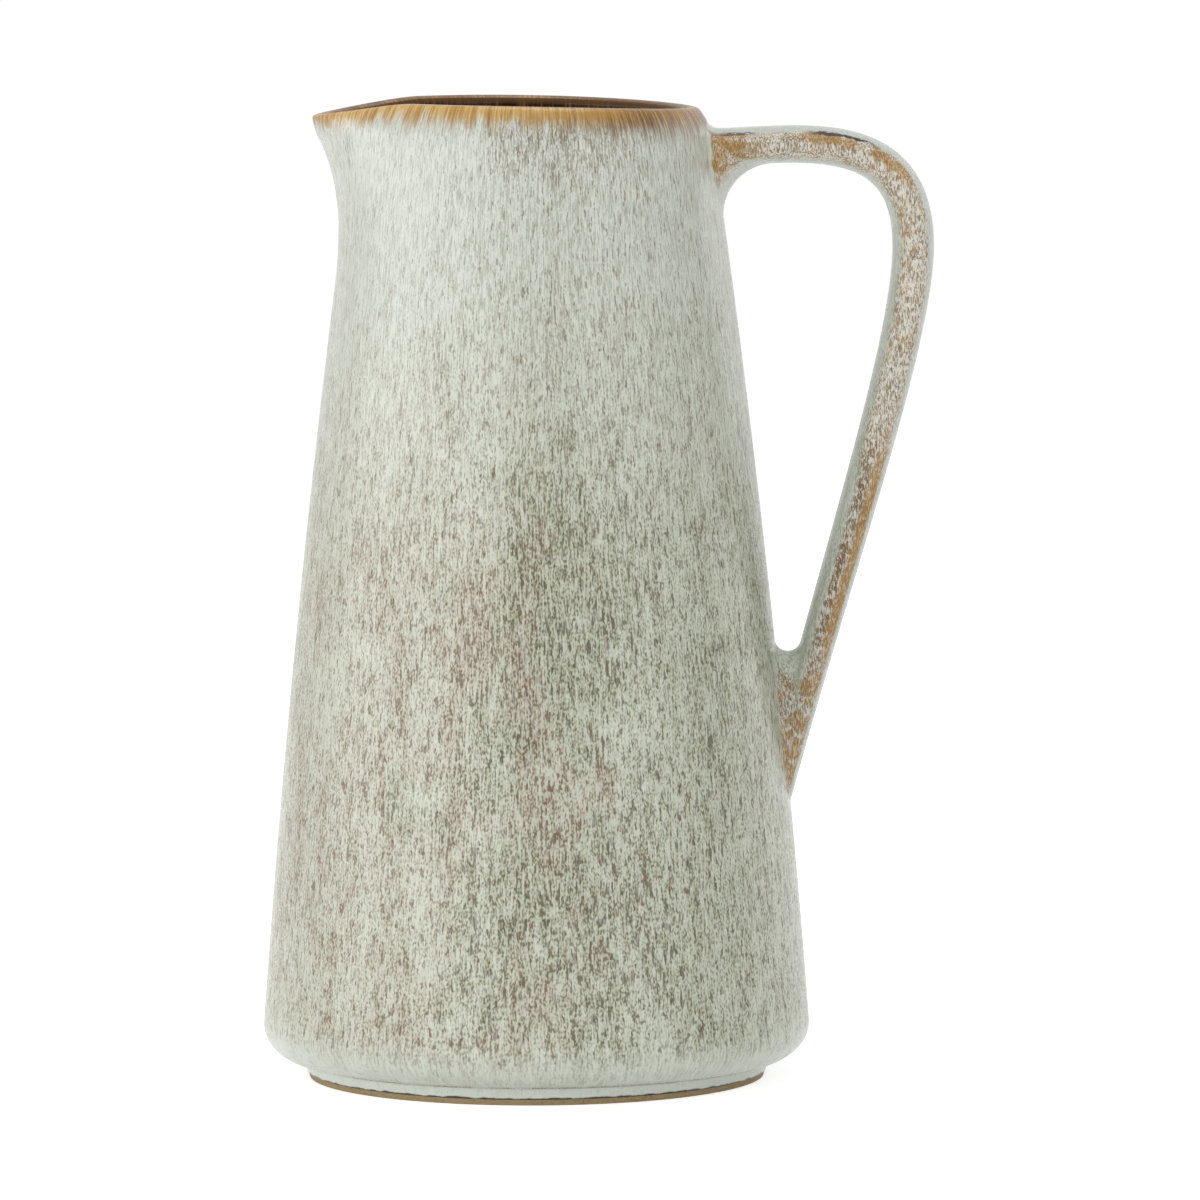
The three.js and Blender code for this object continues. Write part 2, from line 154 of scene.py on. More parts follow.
class JugSizes(bpy.types.PropertyGroup):
    """Sizes of the clay, the handle and the coats of glaze"""

    lip_height: length("Lip height", "Top of the clay lip", CLAY_HIGH[2])
    lip_radius: length("Lip radius", "Middle of the lip's crown", 0.0408)
    crown_radius: length("Crown radius", "Rounding on top of the lip", 0.0014)
    crown_start: angle("Crown start", "Where the bevel meets the crown", 31)
    crown_seam: angle("Crown seam", "Where the outer coat gives way to the lining", 130)
    bevel_height: length("Bevel height", "Sloping outside of the lip", 0.0068)
    bevel_bulge: length("Bevel bulge", "How far the bevel's middle stands out", 0.00055)
    bevel_lift: length("Bevel lift", "How far the bevel's middle is lifted", 0.0004)
    neck_radius: length("Neck radius", "Outside, where the bevel starts", 0.0447)
    belly_radius: length("Belly radius", "Outside, at its widest", CLAY_HIGH[1])
    belly_height: length("Belly height", "Where the body is widest", 0.0137)
    wall_bow: length("Wall bow", "Swelling of the wall beyond a straight cone", 0.0019)
    wall: length("Wall", "Thickness of the clay", 0.0052)
    floor: length("Floor", "Thickness of the floor", 0.006)
    floor_round: length("Floor round", "Inside corner of floor and wall", 0.009)
    foot_radius: length("Foot radius", "Outside, at the crease below the heel", 0.0591)
    foot_height: length("Foot height", "Height of the crease", 0.005)
    foot_taper: length("Foot taper", "How much narrower the foot is on the table", 0.00085)
    foot_ring: length("Foot ring", "Width of the ring that stands on the table", 0.007)
    recess: length("Recess", "Depth of the underside inside the ring", 0.003)
    recess_slope: length("Recess slope", "Run of the ring's inner side", 0.0015)

    spout_reach: length("Spout reach", "How far the rim is drawn out", 0.0139)
    spout_depth: length("Spout depth", "How far below the lip the drawing out starts", 0.048)
    spout_half_angle: angle("Spout half angle", "Spread of the spout to each side", 44)
    spout_dip: length("Spout dip", "How much lower the spout's tip is", 0.0035)
    rim_sag: length("Rim sag", "How much lower the rim is at the handle", 0.002)

    handle_drop: length("Handle drop", "Middle of the arm below the lip", 0.0103)
    handle_reach: length("Handle reach", "Middle of the knee outside the neck", 0.052)
    knee_drop: length("Knee drop", "The knee below the lip", 0.0368)
    arm_lead: length("Arm lead", "How long the upper arm keeps level", 0.0203)
    knee_rise: length("Knee rise", "Roundness above the knee", 0.0339)
    knee_fall: length("Knee fall", "Roundness below the knee", 0.0235)
    landing_height: length("Landing height", "Where the handle meets the wall again", 0.0802)
    landing_lean: angle("Landing lean", "Lean of the handle there", 15)
    landing_lead: length("Landing lead", "How long it keeps that lean", 0.0565)
    handle_width: length("Handle width", "Width of the clay strap", 0.018)
    arm_thickness: length("Arm thickness", "Thickness of the strap at the neck", 0.0082)
    knee_thickness: length("Knee thickness", "Thickness of the strap at the knee", 0.0088)
    landing_thickness: length("Landing thickness", "Thickness of the strap at its lower end", 0.006)
    strap_squareness: bpy.props.FloatProperty(
        name="Strap squareness", description="Exponent of the strap's section", default=2.6)
    upper_fillet: length("Upper fillet", "Fillet under the arm", 0.0145)
    lower_fillet: length("Lower fillet", "Fillet in the corner above the landing", 0.0043)
    side_fillet: length("Side fillet", "Fillets beside the handle", 0.0045)

    glaze: length("Glaze", "Thickness of a coat", GLAZE)
    glaze_line: length("Glaze line", "Bare clay below this height", 0.0016)
    coat_gap: length("Coat gap", "Between a coat and its clay", COAT_HIGH[1] - CLAY_HIGH[1] - GLAZE)
    cut_gap: length("Cut gap", "Between pieces that are cut to each other", 0.0003)


class JugColours(bpy.types.PropertyGroup):
    """Colours of the clay and the glazes"""

    pale: colour("Pale glaze", "Thick glaze, high on the body", (215, 218, 209))
    celadon: colour("Celadon glaze", "Glaze lower on the body", (202, 206, 188))
    # On the foot this colour is also painted light, paler to make up for shade
    milky: colour("Milky glaze", "Glaze pooled at the joints and on the foot", (220, 226, 216))
    ground_warm: colour("Warm ground", "Brown ground that shows through the glaze", (152, 128, 102))
    ground_cool: colour("Olive ground", "Olive ground that shows through the glaze", (138, 140, 104))
    speck: colour("Specks", "Fine dark specks in the glaze", (74, 64, 38))
    rust: colour("Rust spots", "Red brown flecks", (114, 84, 54))
    gold: colour("Gold", "Thin glaze at the top of the lip", (212, 172, 100))
    amber: colour("Amber", "Thin glaze on the lip and the handle's edges", (178, 134, 60))
    amber_dark: colour("Dark amber", "Threads in the amber", (114, 78, 34))
    curd: colour("Curd", "Pale curdled glaze on the handle's sides", (229, 224, 212))
    # Painted highlight: a pale line along the top edge of the lip
    painted_lip_highlight: colour("Cream", "Edge of the lip", (232, 222, 200))
    brown: colour("Brown lining", "Glaze inside the jug", (54, 27, 10))
    brown_light: colour("Light brown lining", "Threads inside the jug", (150, 102, 60))
    ink: colour("Dark edge", "Lines where the glaze stops or creeps", (52, 36, 32))
    clay: colour("Clay", "Bare fired clay", (163, 143, 106))
    clay_dark: colour("Dark clay", "Grains in the clay", (118, 98, 66))


def bezier(t, *points):
    """Points of a Bezier curve: the control points weighted by the Bernstein polynomials of t."""
    last = len(points) - 1
    weights = [comb(last, i) * (1 - t) ** (last - i) * t ** i for i in range(last + 1)]
    return np.stack(weights, axis=-1) @ np.array(points, dtype=float)


def ellipse(t, centre, radii, start, end):
    """Points of an ellipse about a centre, from one angle to another as t goes from 0 to 1."""
    turn = start + (end - start) * t
    return np.array(centre) + np.array(radii) * np.stack([np.cos(turn), np.sin(turn)], axis=-1)


def distances(line):
    """Length along a line of points, from its start to each point."""
    return np.concatenate([[0], np.cumsum(np.linalg.norm(np.diff(line, axis=0), axis=1))])


def resampled(line, places):
    """Points of a line at given lengths along it."""
    along = distances(line)
    return np.stack([np.interp(places, along, axis) for axis in line.T], axis=-1)


def softened(line, spacing, window):
    """A line in even steps, its corners rounded by a moving average over a few steps."""
    whole = distances(line)[-1]
    even = resampled(line, np.linspace(0, whole, round(whole / spacing) + 1))
    half = window // 2
    before, after = 2 * even[0] - even[half:0:-1], 2 * even[-1] - even[-2:-half - 2:-1]
    longer = np.concatenate([before, even, after])
    share = np.ones(window) / window
    return np.stack([np.convolve(axis, share, mode="valid") for axis in longer.T], axis=-1)


def sides(line):
    """Unit vectors square to a line of points, on its right."""
    run = np.gradient(line, axis=0)
    run /= np.linalg.norm(run, axis=1, keepdims=True)
    return np.stack([run[:, 1], -run[:, 0]], axis=-1)


def stations(line, length_step, turn_step):
    """Lengths along a line, a step apart where it is straight and closer where it turns."""
    run = np.gradient(line, axis=0)
    heading = np.unwrap(np.arctan2(run[:, 1], run[:, 0]))
    along = distances(line)
    turned_by = np.concatenate([[0], np.cumsum(np.abs(np.diff(heading)))])
    effort = along / length_step + turned_by / turn_step
    return np.interp(np.linspace(0, effort[-1], int(effort[-1]) + 2), effort, along)


def wall_curve(size, t):
    """The wall's outside, one shallow quadratic curve from the belly to the neck."""
    low = np.array([size.belly_radius, size.belly_height])
    high = np.array([size.neck_radius, size.lip_height - size.bevel_height])
    run = (high - low) / np.linalg.norm(high - low)
    middle = (low + high) / 2 + 2 * size.wall_bow * np.array([run[1], -run[0]])
    return bezier(t, low, middle, high)


def outside_line(size):
    """Radius and height of the outside: foot, quarter ellipse of the heel, wall, bevel and crown."""
    t = np.linspace(0, 1, CORNER_POINTS)
    foot = size.foot_radius - size.foot_taper * (1 - size.glaze_line / size.foot_height)
    reach = (size.belly_radius - size.foot_radius, size.belly_height - size.foot_height)
    heel = ellipse(t, (size.foot_radius, size.belly_height), reach, -pi / 2, 0)
    wall = wall_curve(size, np.linspace(0, 1, WALL_POINTS))
    top = (size.lip_radius, size.lip_height - size.crown_radius)
    crown = ellipse(t, top, (size.crown_radius, size.crown_radius), size.crown_start, size.crown_seam)
    corner = (wall[-1] + crown[0]) / 2 + np.array([size.bevel_bulge, size.bevel_lift])
    bevel = bezier(t, wall[-1], corner, crown[0])
    return np.vstack([[(foot, size.glaze_line)], heel, wall[1:], bevel[1:], crown[1:]])


def inside_line(size):
    """Radius and height of the inside: rest of the crown, wall a clay's thickness in, round and floor."""
    t = np.linspace(0, 1, CORNER_POINTS)
    top = (size.lip_radius, size.lip_height - size.crown_radius)
    crown = ellipse(t, top, (size.crown_radius, size.crown_radius), size.crown_seam, pi)
    wall = wall_curve(size, np.linspace(0, 1, WALL_POINTS))
    inner = (wall - size.wall * sides(wall))[::-1]
    floor = size.recess + size.floor
    middle = (inner[-1][0] - size.floor_round, floor + size.floor_round)
    corner = ellipse(t, middle, (size.floor_round, size.floor_round), 0, -pi / 2)
    above = inner[inner[:, 1] > middle[1] + CLEARANCE]
    return np.vstack([crown[1:], above, corner, [(0, floor)]])


def shaped(size, points):
    """Points with the rim's shape put on: the spout is a squared cosine lobe towards -X that grows with
    the height above its root, and the rim sinks a little towards the handle."""
    x, y, z = np.moveaxis(points, -1, 0)
    turn = np.arctan2(y, -x)
    lobe = np.cos(np.clip(np.abs(turn) / size.spout_half_angle, 0, 1) * pi / 2) ** 2
    rise = np.maximum((z - size.lip_height + size.spout_depth) / size.spout_depth, 0)
    radius = np.hypot(x, y)
    grown = 1 + size.spout_reach * lobe * rise ** SPOUT_CURVE / np.maximum(radius, CLEARANCE)
    drop = size.spout_dip * lobe * rise ** DIP_CURVE
    drop += size.rim_sag * ((1 - np.cos(turn)) / 2) ** SAG_SPREAD * rise ** SAG_CURVE
    return np.stack([x * grown, y * grown, z - drop], axis=-1)


def turned(line, columns):
    """A profile of radius and height turned about Z, as a grid of rows by columns."""
    turn = np.arange(columns) / columns * 2 * pi
    radius, height = line[:, :1], line[:, 1:]
    flat = np.ones(columns)
    return np.stack([radius * np.cos(turn), radius * np.sin(turn), height * flat], axis=-1)


def shell(name, grid, looped, values=None):
    """A closed mesh over a grid of points whose columns go round. Its rows go round too where it is
    looped; otherwise its first and last rows are single points, which become poles. Values are kept
    with the points as attributes."""
    rows, columns = grid.shape[:2]
    index = np.arange(rows * columns).reshape(rows, columns)
    beside = np.roll(index, -1, axis=1)
    above, corner = np.roll(index, -1, axis=0), np.roll(beside, -1, axis=0)
    quads = np.stack([index, beside, corner, above], axis=-1)
    kept = slice(None) if looped else slice(columns - 1, rows * columns - columns + 1)
    points = grid.reshape(-1, 3)[kept]
    if looped:
        faces = quads.reshape(-1, 4).tolist()
    else:
        quads = np.clip(quads - columns + 1, 0, len(points) - 1)
        low = quads[0][:, [0, 2, 3]].tolist()
        high = quads[-2][:, [0, 1, 2]].tolist()
        faces = quads[1:-2].reshape(-1, 4).tolist() + low + high
    mesh = bpy.data.meshes.new(name)
    mesh.from_pydata((points + AXIS).tolist(), [], faces)
    mesh.polygons.foreach_set("use_smooth", np.ones(len(mesh.polygons), dtype=bool))
    for key, value in (values or {}).items():
        flat = value.reshape(rows * columns, -1)[kept]
        kind, field = ("FLOAT_VECTOR", "vector") if flat.shape[1] == 3 else ("FLOAT", "value")
        mesh.attributes.new(key, kind, "POINT").data.foreach_set(field, flat.ravel())
    mesh.set_sharp_from_angle(angle=SMOOTH_EDGE)
    mesh.update()
    piece = bpy.data.objects.new(name, mesh)
    bpy.context.scene.collection.objects.link(piece)
    return piece


def coat_profile(size):
    """The clay's glazed line from the glaze line over the lip to the middle of the floor, its sides, its
    lengths, and the length at which the outer coat gives way to the lining."""
    outside, inside = outside_line(size), inside_line(size)
    line = softened(np.vstack([outside, inside]), PROFILE_STEP, window=5)
    line[-1] = inside[-1]
    return line, sides(line), distances(line), distances(outside)[-1]


def coat_grid(size, places, thickness, columns):
    """Rows of a coat at lengths along the clay's line, moved out by a thickness, turned and shaped.
    Also the coordinates that its streaks follow: place on a circle of one radius, so that they run
    straight down a tapering wall, and depth below the lip."""
    line, side, along, lip = coat_profile(size)
    at = resampled(line, places)
    out = np.stack([np.interp(places, along, axis) for axis in side.T], axis=-1)
    moved = at + out * np.reshape(thickness, (-1, 1))
    moved[:, 0] = np.maximum(moved[:, 0], 0)
    grid = turned(moved, columns)
    turn = np.arange(columns) / columns * 2 * pi
    circle = STREAK_RADIUS * np.stack([np.cos(turn), np.sin(turn)], axis=-1)
    depth = np.abs(lip - places)[:, None, None] * np.ones((columns, 1))
    run = np.concatenate([np.broadcast_to(circle, (len(places), columns, 2)), depth], axis=-1)
    return shaped(size, grid), run


def handle_path(size):
    """The handle's middle line in the XZ plane, from inside the wall at the neck, level, round the knee
    and down to the wall: two cubic curves with a straight stub at each end, in even steps. Also the
    knee's share of the way."""
    outside = outside_line(size)
    arm = size.lip_height - size.handle_drop
    radius = np.interp([arm, size.landing_height], outside[:, 1], outside[:, 0])
    start, landing = np.array([radius[0], arm]), np.array([radius[1], size.landing_height])
    knee = np.array([size.neck_radius + size.handle_reach, size.lip_height - size.knee_drop])
    down = -np.array([np.sin(size.landing_lean), np.cos(size.landing_lean)])
    t = np.linspace(0, 1, PATH_POINTS)
    upper = bezier(t, start, start + [size.arm_lead, 0], knee + [0, size.knee_rise], knee)
    lower = bezier(t, knee, knee - [0, size.knee_fall], landing - down * size.landing_lead, landing)
    line = np.vstack([[start - [size.wall, 0]], upper, lower[1:], [landing + down * 3 * size.wall]])
    bend = (size.wall + distances(upper)[-1]) / distances(line)[-1]
    return softened(line, PATH_STEP, window=9), bend


def strap_point(size, path, along, turn, growth):
    """Points of the strap and the ways they face. Its section is a superellipse, thick in the handle's
    plane and wide across it, carried along the path; turn 0 is the outer face and pi the inner one."""
    line, bend = path
    at = np.linspace(0, 1, len(line))
    run = np.gradient(line, axis=0)
    run /= np.linalg.norm(run, axis=1, keepdims=True)
    x, z, run_x, run_z = (np.interp(along, at, axis) for axis in (*line.T, *run.T))
    rising = np.clip(along / bend, 0, 1)
    rising = rising ** 2 * (3 - 2 * rising)
    past = np.maximum((along - bend) / (1 - bend), 0)
    thick = size.arm_thickness + (size.knee_thickness - size.arm_thickness) * rising
    thick = (thick - (size.knee_thickness - size.landing_thickness) * past) / 2 + growth
    wide = size.handle_width / 2 + growth
    power = 2 / size.strap_squareness
    c, s = np.cos(turn), np.sin(turn)
    out, across = (np.sign(v) * np.abs(v) ** power for v in (c, s))
    point = np.stack([x - run_z * thick * out, -wide * across, z + run_x * thick * out], axis=-1)
    facing_out, facing_across = (np.sign(v) * np.abs(v) ** (2 - power) for v in (c, s))
    facing_out, facing_across = facing_out / thick, facing_across / wide
    normal = np.stack([-run_z * facing_out, -facing_across, run_x * facing_out], axis=-1)
    return point, normal / np.linalg.norm(normal, axis=-1, keepdims=True)


def from_wall(line, points, growth):
    """How far points are from the body's outside grown by a distance, and the way it faces there:
    the nearest of the line's pieces, measured in radius and height."""
    radius = np.hypot(points[:, 0], points[:, 1])
    here = np.stack([radius, points[:, 2]], axis=-1)[:, None]
    start, run = line[:-1], np.diff(line, axis=0)
    part = np.clip(((here - start) * run).sum(-1) / (run ** 2).sum(-1), 0, 1)
    away = here - start - part[..., None] * run
    nearest = np.argmin((away ** 2).sum(-1), axis=1)
    pick = np.arange(len(points))
    side = sides(line)[nearest]
    distance = (away[pick, nearest] * side).sum(-1) - growth
    outwards = points[:, :2] / radius[:, None]
    return distance, np.concatenate([outwards * side[:, :1], side[:, 1:]], axis=-1)


def fillet(size, path, turn, growth, seat, upper, steps):
    """The corner of strap and wall as a rolling ball leaves it. For each line along the strap, halving
    finds where a ball on the strap touches the wall too; the fillet is the ball's arc between them."""
    outside = outside_line(size)
    deep = size.upper_fillet if upper else size.lower_fillet
    inwards = np.maximum(-np.cos(turn), 0) ** FILLET_CURVE
    radius = size.side_fillet + (deep - size.side_fillet) * inwards - growth
    near = np.full(len(turn), 0.0 if upper else 1.0)
    far = np.full(len(turn), path[1])
    for _ in range(HALVINGS):
        middle = (near + far) / 2
        point, normal = strap_point(size, path, middle, turn, growth)
        over = from_wall(outside, point + normal * radius[:, None], seat)[0] - radius
        near, far = np.where(over < 0, middle, near), np.where(over < 0, far, middle)
    point, normal = strap_point(size, path, far, turn, growth)
    centre = point + normal * radius[:, None]
    wall = from_wall(outside, centre, seat)[1]
    t = np.linspace(0, 1, steps)[:, None, None]
    swing = np.arccos(np.clip((wall * normal).sum(-1), -1, 1))[None, :, None]
    way = (np.sin((1 - t) * swing) * wall + np.sin(t * swing) * normal) / np.sin(swing)
    return far, centre - way * radius[:, None]


def luted_strap(size, growth, turns, steps, rows):
    """The strap with its fillets, grown by a distance, as rows along it by columns round it. Also where
    each row is: length along the strap, and nearness to a joint. What the fillets run out on is grown as
    much as the strap, so that layers stay parallel; the outermost just dips into the body's coat."""
    path = handle_path(size)
    seat = growth + size.coat_gap - size.cut_gap - COAT_LAP
    turn = (np.arange(turns) + 0.5) / turns * 2 * pi
    top_at, top = fillet(size, path, turn, growth, seat, upper=True, steps=steps)
    low_at, low = fillet(size, path, turn, growth, seat, upper=False, steps=steps)
    t = np.linspace(0, 1, rows)[1:-1, None]
    along = top_at + (low_at - top_at) * t
    between = strap_point(size, path, along, turn + 0 * along, growth)[0]
    grid = np.vstack([top, between, low[::-1]])
    place = np.vstack([np.repeat(top_at[None], steps, 0), along, np.repeat(low_at[None], steps, 0)])
    ramp = np.linspace(1, 0, steps)[:, None] * np.ones(turns)
    near = np.vstack([ramp, 0 * along, ramp[::-1]])
    return grid, place * distances(path[0])[-1], near, turn


def joint_rings(size):
    """Points where the handle's fillets run out on the wall, both joints together."""
    grid = luted_strap(size, size.cut_gap + size.glaze, turns=72, steps=2, rows=4)[0]
    return shaped(size, np.vstack([grid[0], grid[-1]]))


class Value:
    """A shader socket that Python arithmetic works on; each operation adds a Math node."""

    def __init__(self, tree, socket):
        self.tree = tree
        self.socket = socket

    def math(self, operation, first, second=0.0):
        """A Math node on two values, either of which may be a plain number."""
        return self.tree.node("ShaderNodeMath", {"operation": operation}, {0: first, 1: second})

    def __add__(self, other):
        return self.math("ADD", self, other)

    def __sub__(self, other):
        return self.math("SUBTRACT", self, other)

    def __mul__(self, other):
        return self.math("MULTIPLY", self, other)

    def __radd__(self, other):
        return self.math("ADD", other, self)

    def __rsub__(self, other):
        return self.math("SUBTRACT", other, self)

    def __rmul__(self, other):
        return self.math("MULTIPLY", other, self)

    def __abs__(self):
        return self.math("ABSOLUTE", self)


class Tree:
    """A node tree, with the few nodes that the glazes, the clay and the studio are mixed from."""

    def __init__(self, tree):
        self.nodes = tree.nodes
        self.links = tree.links

    def node(self, kind, settings=None, sockets=None, output=0):
        """Any node: its type, its settings, the values or links of its sockets, and the output wanted."""
        made = self.nodes.new(kind)
        for key, setting in (settings or {}).items():
            setattr(made, key, setting)
        self.fill(made, sockets or {})
        return Value(self, made.outputs[output])

    def fill(self, made, sockets):
        """Sets or links sockets of a node."""
        for key, given in sockets.items():
            socket = made.inputs[key]
            if isinstance(given, Value):
                self.links.new(given.socket, socket)
            else:
                socket.default_value = (*given, 1) if socket.type == "RGBA" else given

    def attribute(self, name, output):
        """A value that the mesh keeps with its points."""
        return self.node("ShaderNodeAttribute", {"attribute_name": name}, output=output)

    def place(self):
        """Where a point of the piece is."""
        return self.node("ShaderNodeTexCoord", output="Object")

    def part(self, vector, axis):
        """One coordinate of a vector."""
        return self.node("ShaderNodeSeparateXYZ", {}, {0: vector}, output=axis)

    def noise(self, vector, size, detail=2, roughness=0.55, distortion=0.0, z_rate=1):
        """Noise about 0 to 1 whose blots are about a size across, in metres, and drawn out along Z where
        the rate at which Z counts is below one."""
        if z_rate != 1:
            scaled = {0: vector, 1: (1, 1, z_rate)}
            vector = self.node("ShaderNodeVectorMath", {"operation": "MULTIPLY"}, scaled)
        sockets = {"Vector": vector, "Scale": 1 / size, "Detail": detail}
        sockets.update({"Roughness": roughness, "Distortion": distortion})
        return self.node("ShaderNodeTexNoise", {}, sockets)

    def smooth(self, value, low, high, start=0.0, end=1.0):
        """A smooth step from start to end as a value goes from low to high."""
        sockets = {"Value": value, "From Min": low, "From Max": high, "To Min": start, "To Max": end}
        return self.node("ShaderNodeMapRange", {"interpolation_type": "SMOOTHSTEP"}, sockets)

    def band(self, value, low, high, edge):
        """One between two bounds of a value, fading to nothing over an edge beyond them."""
        return self.smooth(value, low - edge, low) * self.smooth(value, high + edge, high)

    def mix(self, first, second, factor):
        """Two colours mixed; sockets 6 and 7 and output 2 are the node's colours."""
        sockets = {0: factor, 6: first, 7: second}
        return self.node("ShaderNodeMix", {"data_type": "RGBA"}, sockets, output=2)

    def bump(self, height, distance, strength):
        """Relief of a height, for a shader's normal."""
        sockets = {"Height": height, "Distance": distance, "Strength": strength}
        return self.node("ShaderNodeBump", {}, sockets)

    def shown(self):
        """One for a ray that shows the studio itself: from the camera, a reflection or glass."""
        kinds = ("Is Camera Ray", "Is Glossy Ray", "Is Transmission Ray")
        camera, glossy, through = (self.node("ShaderNodeLightPath", output=kind) for kind in kinds)
        return camera + glossy + through


class Finish(Tree):
    """One material and its node tree."""

    def __init__(self, name):
        self.material = bpy.data.materials.new(name)
        self.material.use_nodes = True
        super().__init__(self.material.node_tree)
        self.shader = self.nodes["Principled BSDF"]

    def finished(self, **sockets):
        """The material, with sockets of its shader set or linked by their names."""
        self.fill(self.shader, {key.replace("_", " ").title(): given for key, given in sockets.items()})
        return self.material


def streaked_glaze(paint, size):
    """Pale outer glaze: a milky coat that breaks into flecks, stains and thin lines that run down the
    body, more of them lower down, redder on the spout's side. The lip is amber and darkens towards the
    handle, the joints are milky pools, and the coat's lower edge is dark."""
    made = Finish("streaked_glaze")
    run = made.attribute("run", "Vector")
    depth = made.part(run, "Z")
    across = made.part(run, "X")
    pool = made.attribute("pool", "Fac")
    height = made.part(made.place(), "Z")
    foot = made.smooth(height, size.foot_height + 0.001, size.foot_height - 0.0005)
    heel = made.smooth(height, size.belly_height + 0.0043, size.belly_height - 0.0047)
    lower = made.smooth(depth, 0.02, 0.14)
    body = lower * (1 - heel * 0.8) * (1 - foot)

    # Noises that run down the body, from broad clouds to hairs and dashes
    cloud = made.noise(run, 0.02, 2, z_rate=0.6)
    column = made.noise(run, 0.008, 2, z_rate=0.08)
    stain = made.noise(run, 0.0034, 2, z_rate=0.4)
    smear = made.noise(run, 0.0014, 2, 0.6, z_rate=0.1)
    grain = made.noise(run, 0.00036, 0, z_rate=0.45)
    hair = made.noise(run, 0.00038, 0, z_rate=0.1)
    lines = made.noise(run, 0.00058, 1, z_rate=0.15)
    dash = made.noise(run, 0.0009, 0, z_rate=0.3)
    blotch = made.noise(run, 0.0012, 1, z_rate=0.45)
    hue = made.noise(run, 0.012, 2, z_rate=0.5)
    swell = made.noise(run, 0.01, 2, z_rate=0.2)

    # Where flecks crowd: below the lip and wherever noises agree, and in the middle of the lower body as
    # painted shade
    below = made.smooth(abs(across - 0.008 + (swell - 0.5) * 0.04), 0.036, 0.0)
    below = below * made.band(depth, 0.0, 0.01, 0.02)
    # Painted shade: extra flecks make a darker band down the middle of the lower body, front and back
    middle = made.smooth(abs(across - 0.006), 0.036, 0.0) * made.band(depth, 0.12, 0.2, 0.05)
    crowd = (stain - 0.5) * 0.9 + (smear - 0.5) * 0.7 + (column - 0.5) * 0.6 + (cloud - 0.5) * 0.7
    crowd = crowd + middle * 0.28
    stroke = grain * (0.5 + lower * 0.2) + hair * (0.5 - lower * 0.2) + crowd * 0.08 - pool * 0.1
    warm = made.smooth(across + (hue - 0.5) * 0.17, 0.012, -0.03) * lower
    ground = made.mix(paint.ground_cool, paint.ground_warm, warm)
    fleck = made.smooth(stroke, 0.4, 0.6)
    core = made.smooth(stroke, 0.53, 0.68)
    thread = made.smooth(lines + crowd * 0.16 + below * 0.1 + (grain - 0.5) * 0.25, 0.62, 0.72)
    mark = made.smooth(dash + crowd * 0.12 + (grain - 0.5) * 0.3, 0.62, 0.74)
    rusty = made.smooth(blotch + crowd * 0.12 + (grain - 0.5) * 0.3, 0.64, 0.76)
    rusty = rusty * made.smooth(depth, 0.1, 0.18)
    bare = made.smooth(across, -0.04, 0.0, 0.75, 1.1) * (1 - foot * 0.9) * (1 - heel * 0.6)
    strength = 0.18 * bare + body * (0.3 + crowd * 0.5)
    brown = made.mix(paint.speck, paint.rust, made.smooth(depth, 0.15, 0.05) * 0.7 + warm * 0.7)

    # The coat, its ground, its flecks and its hairs
    shade = made.mix(made.mix(paint.pale, paint.celadon, lower), paint.milky, pool)
    # Milky glaze on the foot and most of the heel; on the foot it is also painted light, paler to make up
    # for its shade under the belly
    shade = made.mix(shade, paint.milky, 1 - (1 - foot) * (1 - heel * 0.7))
    shade = made.mix(shade, ground, made.smooth(crowd, -0.25, 0.4) * (0.06 + body * 0.34))
    shade = made.mix(shade, ground, fleck * strength)
    shade = made.mix(shade, paint.speck, core * strength)
    shade = made.mix(shade, paint.rust, below * fleck * 0.3)
    shade = made.mix(shade, brown, thread * (0.55 * bare + body * 0.1))
    shade = made.mix(shade, brown, mark * (0.15 * bare + body * 0.55))
    shade = made.mix(shade, paint.rust, rusty * body * made.smooth(hue, 0.4, 0.55, 0.2, 0.7))
    shade = made.mix(shade, paint.ground_cool, made.smooth(hair, 0.5, 0.66) * (1 - body) * bare * 0.2)
    shade = made.mix(shade, paint.milky, made.smooth(hair, 0.5, 0.35) * (0.26 + body * 0.04))

    # The amber lip, which frays downwards
    strand = made.noise(run, 0.0008, 3, 0.6, z_rate=0.05)
    brink = made.smooth(across, -0.006, 0.046)
    front = made.smooth(made.part(run, "Y"), 0.01, -0.02)
    reach = 0.006 + (strand - 0.5) * 0.008 + (swell - 0.5) * 0.003 + (stain - 0.5) * 0.005 + brink * 0.002
    teeth = made.smooth(strand + (swell - 0.5) * 0.4 + brink * 0.3 + (1 - front), 0.28, 0.5, 0.8, 1.0)
    thin = made.smooth(depth + (lines - 0.5) * 0.006, reach * 0.5, reach * 1.5, 1.0, 0.0) * teeth
    tone = strand * 1.6 + stain * 0.5 + depth * 40 + brink * 0.4 + (swell - 0.5) * 0.5 + (1 - front) * 0.6
    amber = made.mix(paint.gold, paint.amber, made.smooth(tone, 1.0, 1.3))
    amber = made.mix(amber, paint.amber_dark, made.smooth(tone, 1.35, 1.8))
    shade = made.mix(shade, amber, thin)
    # Painted highlight: a pale cream line along the top of the lip, on the camera's side only
    shade = made.mix(shade, paint.painted_lip_highlight, made.smooth(depth, 0.0012, 0.0006) * front * 0.8)

    # The crease above the foot, the foot, and the coat's ragged edge
    crease = made.band(height, size.foot_height - 0.0001, size.foot_height + 0.0001, 0.0004)
    shade = made.mix(shade, paint.ground_warm, crease * made.smooth(stain, 0.35, 0.6) * 0.7)
    shade = made.mix(shade, paint.ground_warm, foot * core * 0.25)
    above_line = height - size.glaze_line + (stain - 0.5) * 0.0012
    shade = made.mix(shade, paint.ink, made.smooth(above_line, 0.0005, 0.0001))
    relief = made.bump(smear - fleck * 0.4, 0.00012, 0.5)
    return made.finished(base_color=shade, roughness=0.25 + core * 0.15, normal=relief)


